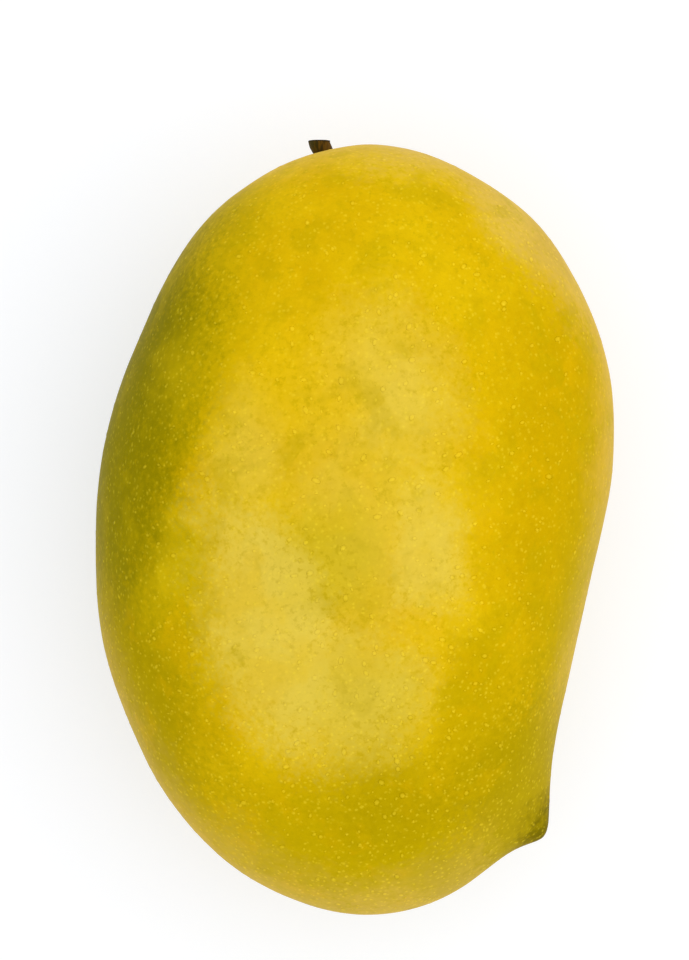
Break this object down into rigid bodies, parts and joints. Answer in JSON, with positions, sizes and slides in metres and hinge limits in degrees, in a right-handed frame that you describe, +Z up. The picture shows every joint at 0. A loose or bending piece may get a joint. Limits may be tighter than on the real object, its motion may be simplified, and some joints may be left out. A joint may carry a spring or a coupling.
{
  "type": "mango",
  "caption": "Whole ripe yellow mango with a blunt side beak and a short cut stem, lying on its broad face on a small flat spot.",
  "frame": {"origin": "middle of the box's lower face, on the surface that the fruit lies on", "axes": "+Y along the fruit towards its stem end, +X across it towards the side with the beak, +Z up through its thickness"},
  "size_m": [0.084, 0.1256, 0.0707],
  "materials": {
    "skin": "satin",
    "stalk": "matte"
  },
  "bodies": {
    "root": {"fruit": "skin", "stem": "stalk"}
  },
  "joints": []
}
